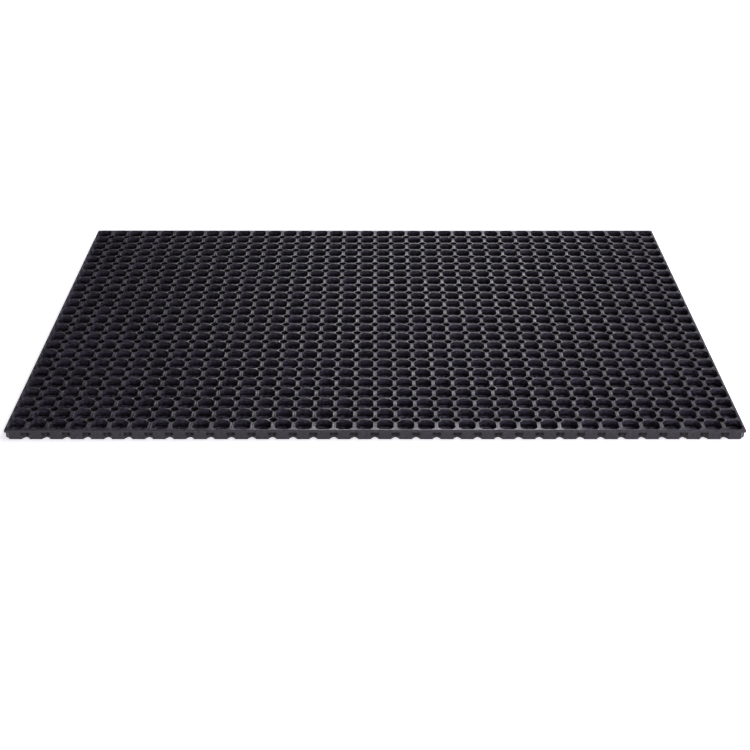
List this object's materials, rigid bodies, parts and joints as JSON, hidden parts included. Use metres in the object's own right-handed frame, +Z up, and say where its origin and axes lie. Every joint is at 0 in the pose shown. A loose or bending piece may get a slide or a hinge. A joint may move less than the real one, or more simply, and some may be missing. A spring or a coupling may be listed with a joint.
{
  "type": "door mat",
  "caption": "Ring door mat of black rubber: a flat lattice of octagonal cups with round drains where cups meet, which rolls up along its length.",
  "frame": {"origin": "centre of the mat's outline, on the floor it lies on", "axes": "+X along the mat's length, +Y along its width towards the back edge, +Z up out of the tread"},
  "size_m": [1.5, 1, 0.022],
  "materials": {
    "rubber": "moulded black rubber, matt with a soft sheen on the tread"
  },
  "bodies": {
    "strip_01": {"cell_strip_01": "rubber"},
    "strip_02": {"cell_strip_02": "rubber"},
    "strip_03": {"cell_strip_03": "rubber"},
    "strip_04": {"cell_strip_04": "rubber"},
    "strip_05": {"cell_strip_05": "rubber"},
    "strip_06": {"cell_strip_06": "rubber"},
    "strip_07": {"cell_strip_07": "rubber"},
    "strip_08": {"cell_strip_08": "rubber"},
    "strip_09": {"cell_strip_09": "rubber"},
    "strip_10": {"cell_strip_10": "rubber"},
    "strip_11": {"cell_strip_11": "rubber"},
    "strip_12": {"cell_strip_12": "rubber"},
    "strip_13": {"cell_strip_13": "rubber"},
    "strip_14": {"cell_strip_14": "rubber"},
    "strip_15": {"cell_strip_15": "rubber"},
    "strip_16": {"cell_strip_16": "rubber"},
    "strip_17": {"cell_strip_17": "rubber"},
    "strip_18": {"cell_strip_18": "rubber"},
    "strip_19": {"cell_strip_19": "rubber"},
    "strip_20": {"cell_strip_20": "rubber"},
    "strip_21": {"cell_strip_21": "rubber"},
    "strip_22": {"cell_strip_22": "rubber"},
    "strip_23": {"cell_strip_23": "rubber"},
    "strip_24": {"cell_strip_24": "rubber"},
    "strip_25": {"cell_strip_25": "rubber"},
    "strip_26": {"cell_strip_26": "rubber"},
    "strip_27": {"cell_strip_27": "rubber"},
    "strip_28": {"cell_strip_28": "rubber"},
    "strip_29": {"cell_strip_29": "rubber"},
    "strip_30": {"cell_strip_30": "rubber"},
    "strip_31": {"cell_strip_31": "rubber"},
    "strip_32": {"cell_strip_32": "rubber"},
    "strip_33": {"cell_strip_33": "rubber"},
    "strip_34": {"cell_strip_34": "rubber"},
    "strip_35": {"cell_strip_35": "rubber"},
    "strip_36": {"cell_strip_36": "rubber"}
  },
  "joints": [
    {"name": "flex_line_01", "type": "hinge", "parent": "strip_02", "child": "strip_01", "pos_m": [-0.70833, 0, 0.022], "axis": [0, 1, 0], "range_deg": [0, 9.5], "stiffness_Nm_per_rad": 15},
    {"name": "flex_line_02", "type": "hinge", "parent": "strip_03", "child": "strip_02", "pos_m": [-0.66667, 0, 0.022], "axis": [0, 1, 0], "range_deg": [0, 9.5], "stiffness_Nm_per_rad": 15},
    {"name": "flex_line_03", "type": "hinge", "parent": "strip_04", "child": "strip_03", "pos_m": [-0.625, 0, 0.022], "axis": [0, 1, 0], "range_deg": [0, 9.5], "stiffness_Nm_per_rad": 15},
    {"name": "flex_line_04", "type": "hinge", "parent": "strip_05", "child": "strip_04", "pos_m": [-0.58333, 0, 0.022], "axis": [0, 1, 0], "range_deg": [0, 9.5], "stiffness_Nm_per_rad": 15},
    {"name": "flex_line_05", "type": "hinge", "parent": "strip_06", "child": "strip_05", "pos_m": [-0.54167, 0, 0.022], "axis": [0, 1, 0], "range_deg": [0, 9.5], "stiffness_Nm_per_rad": 15},
    {"name": "flex_line_06", "type": "hinge", "parent": "strip_07", "child": "strip_06", "pos_m": [-0.5, 0, 0.022], "axis": [0, 1, 0], "range_deg": [0, 9.5], "stiffness_Nm_per_rad": 15},
    {"name": "flex_line_07", "type": "hinge", "parent": "strip_08", "child": "strip_07", "pos_m": [-0.45833, 0, 0.022], "axis": [0, 1, 0], "range_deg": [0, 9.5], "stiffness_Nm_per_rad": 15},
    {"name": "flex_line_08", "type": "hinge", "parent": "strip_09", "child": "strip_08", "pos_m": [-0.41667, 0, 0.022], "axis": [0, 1, 0], "range_deg": [0, 9.5], "stiffness_Nm_per_rad": 15},
    {"name": "flex_line_09", "type": "hinge", "parent": "strip_10", "child": "strip_09", "pos_m": [-0.375, 0, 0.022], "axis": [0, 1, 0], "range_deg": [0, 9.5], "stiffness_Nm_per_rad": 15},
    {"name": "flex_line_10", "type": "hinge", "parent": "strip_11", "child": "strip_10", "pos_m": [-0.33333, 0, 0.022], "axis": [0, 1, 0], "range_deg": [0, 9.5], "stiffness_Nm_per_rad": 15},
    {"name": "flex_line_11", "type": "hinge", "parent": "strip_12", "child": "strip_11", "pos_m": [-0.29167, 0, 0.022], "axis": [0, 1, 0], "range_deg": [0, 9.5], "stiffness_Nm_per_rad": 15},
    {"name": "flex_line_12", "type": "hinge", "parent": "strip_13", "child": "strip_12", "pos_m": [-0.25, 0, 0.022], "axis": [0, 1, 0], "range_deg": [0, 9.5], "stiffness_Nm_per_rad": 15},
    {"name": "flex_line_13", "type": "hinge", "parent": "strip_14", "child": "strip_13", "pos_m": [-0.20833, 0, 0.022], "axis": [0, 1, 0], "range_deg": [0, 9.5], "stiffness_Nm_per_rad": 15},
    {"name": "flex_line_14", "type": "hinge", "parent": "strip_15", "child": "strip_14", "pos_m": [-0.16667, 0, 0.022], "axis": [0, 1, 0], "range_deg": [0, 9.5], "stiffness_Nm_per_rad": 15},
    {"name": "flex_line_15", "type": "hinge", "parent": "strip_16", "child": "strip_15", "pos_m": [-0.125, 0, 0.022], "axis": [0, 1, 0], "range_deg": [0, 9.5], "stiffness_Nm_per_rad": 15},
    {"name": "flex_line_16", "type": "hinge", "parent": "strip_17", "child": "strip_16", "pos_m": [-0.08333, 0, 0.022], "axis": [0, 1, 0], "range_deg": [0, 9.5], "stiffness_Nm_per_rad": 15},
    {"name": "flex_line_17", "type": "hinge", "parent": "strip_18", "child": "strip_17", "pos_m": [-0.04167, 0, 0.022], "axis": [0, 1, 0], "range_deg": [0, 9.5], "stiffness_Nm_per_rad": 15},
    {"name": "flex_line_18", "type": "hinge", "parent": "strip_18", "child": "strip_19", "pos_m": [0, 0, 0.022], "axis": [0, -1, 0], "range_deg": [0, 9.5], "stiffness_Nm_per_rad": 15},
    {"name": "flex_line_19", "type": "hinge", "parent": "strip_19", "child": "strip_20", "pos_m": [0.04167, 0, 0.022], "axis": [0, -1, 0], "range_deg": [0, 9.5], "stiffness_Nm_per_rad": 15},
    {"name": "flex_line_20", "type": "hinge", "parent": "strip_20", "child": "strip_21", "pos_m": [0.08333, 0, 0.022], "axis": [0, -1, 0], "range_deg": [0, 9.5], "stiffness_Nm_per_rad": 15},
    {"name": "flex_line_21", "type": "hinge", "parent": "strip_21", "child": "strip_22", "pos_m": [0.125, 0, 0.022], "axis": [0, -1, 0], "range_deg": [0, 9.5], "stiffness_Nm_per_rad": 15},
    {"name": "flex_line_22", "type": "hinge", "parent": "strip_22", "child": "strip_23", "pos_m": [0.16667, 0, 0.022], "axis": [0, -1, 0], "range_deg": [0, 9.5], "stiffness_Nm_per_rad": 15},
    {"name": "flex_line_23", "type": "hinge", "parent": "strip_23", "child": "strip_24", "pos_m": [0.20833, 0, 0.022], "axis": [0, -1, 0], "range_deg": [0, 9.5], "stiffness_Nm_per_rad": 15},
    {"name": "flex_line_24", "type": "hinge", "parent": "strip_24", "child": "strip_25", "pos_m": [0.25, 0, 0.022], "axis": [0, -1, 0], "range_deg": [0, 9.5], "stiffness_Nm_per_rad": 15},
    {"name": "flex_line_25", "type": "hinge", "parent": "strip_25", "child": "strip_26", "pos_m": [0.29167, 0, 0.022], "axis": [0, -1, 0], "range_deg": [0, 9.5], "stiffness_Nm_per_rad": 15},
    {"name": "flex_line_26", "type": "hinge", "parent": "strip_26", "child": "strip_27", "pos_m": [0.33333, 0, 0.022], "axis": [0, -1, 0], "range_deg": [0, 9.5], "stiffness_Nm_per_rad": 15},
    {"name": "flex_line_27", "type": "hinge", "parent": "strip_27", "child": "strip_28", "pos_m": [0.375, 0, 0.022], "axis": [0, -1, 0], "range_deg": [0, 9.5], "stiffness_Nm_per_rad": 15},
    {"name": "flex_line_28", "type": "hinge", "parent": "strip_28", "child": "strip_29", "pos_m": [0.41667, 0, 0.022], "axis": [0, -1, 0], "range_deg": [0, 9.5], "stiffness_Nm_per_rad": 15},
    {"name": "flex_line_29", "type": "hinge", "parent": "strip_29", "child": "strip_30", "pos_m": [0.45833, 0, 0.022], "axis": [0, -1, 0], "range_deg": [0, 9.5], "stiffness_Nm_per_rad": 15},
    {"name": "flex_line_30", "type": "hinge", "parent": "strip_30", "child": "strip_31", "pos_m": [0.5, 0, 0.022], "axis": [0, -1, 0], "range_deg": [0, 9.5], "stiffness_Nm_per_rad": 15},
    {"name": "flex_line_31", "type": "hinge", "parent": "strip_31", "child": "strip_32", "pos_m": [0.54167, 0, 0.022], "axis": [0, -1, 0], "range_deg": [0, 9.5], "stiffness_Nm_per_rad": 15},
    {"name": "flex_line_32", "type": "hinge", "parent": "strip_32", "child": "strip_33", "pos_m": [0.58333, 0, 0.022], "axis": [0, -1, 0], "range_deg": [0, 9.5], "stiffness_Nm_per_rad": 15},
    {"name": "flex_line_33", "type": "hinge", "parent": "strip_33", "child": "strip_34", "pos_m": [0.625, 0, 0.022], "axis": [0, -1, 0], "range_deg": [0, 9.5], "stiffness_Nm_per_rad": 15},
    {"name": "flex_line_34", "type": "hinge", "parent": "strip_34", "child": "strip_35", "pos_m": [0.66667, 0, 0.022], "axis": [0, -1, 0], "range_deg": [0, 9.5], "stiffness_Nm_per_rad": 15},
    {"name": "flex_line_35", "type": "hinge", "parent": "strip_35", "child": "strip_36", "pos_m": [0.70833, 0, 0.022], "axis": [0, -1, 0], "range_deg": [0, 9.5], "stiffness_Nm_per_rad": 15}
  ]
}
